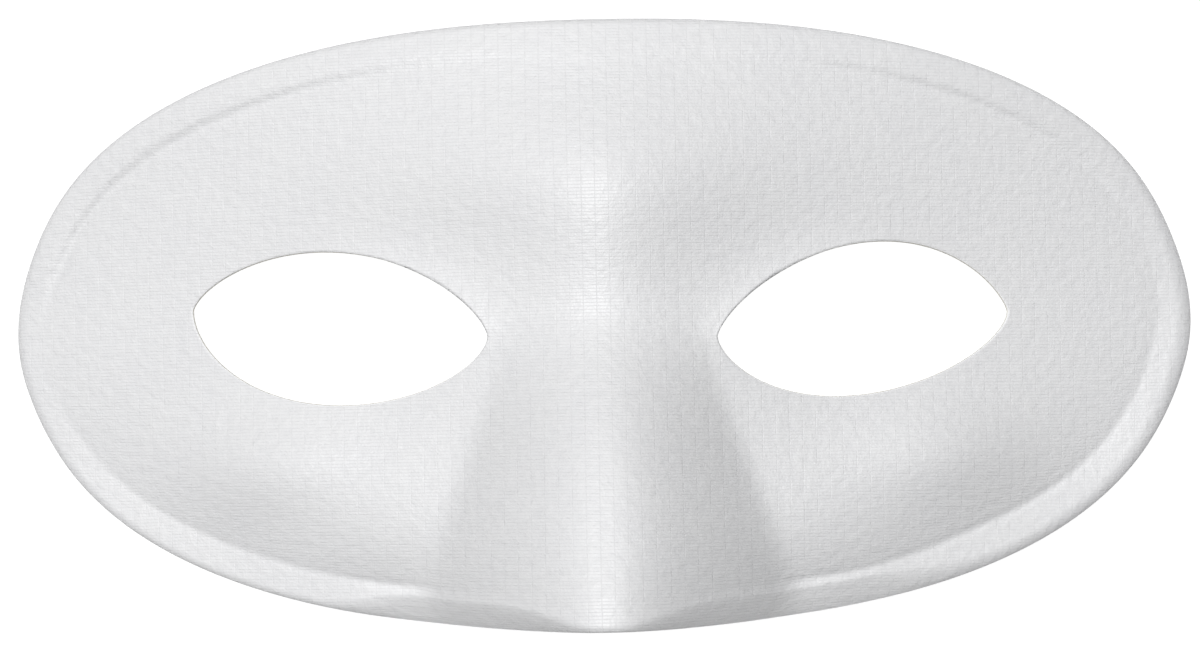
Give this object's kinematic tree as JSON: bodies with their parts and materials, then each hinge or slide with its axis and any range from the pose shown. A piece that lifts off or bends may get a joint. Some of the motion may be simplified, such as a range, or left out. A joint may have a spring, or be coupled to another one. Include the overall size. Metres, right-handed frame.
{
  "type": "half mask",
  "caption": "Oval moulded half mask for the eyes and the bridge of the nose, cloth covered, with almond-shaped eye holes, a nose ridge and a rolled rim.",
  "frame": {"origin": "on the surface the mask lies on, under the centre of its outline", "axes": "+X across the mask from the wearer's right to the wearer's left, +Y up to the brow, +Z out of the face towards the tip of the nose"},
  "size_m": [0.1714, 0.0856, 0.0557],
  "materials": {
    "satin_cloth": "plain off-white woven polyester satin with a dull sheen, heat-moulded over stiffened cloth"
  },
  "bodies": {
    "root": {"half_mask": "satin_cloth"}
  },
  "joints": []
}
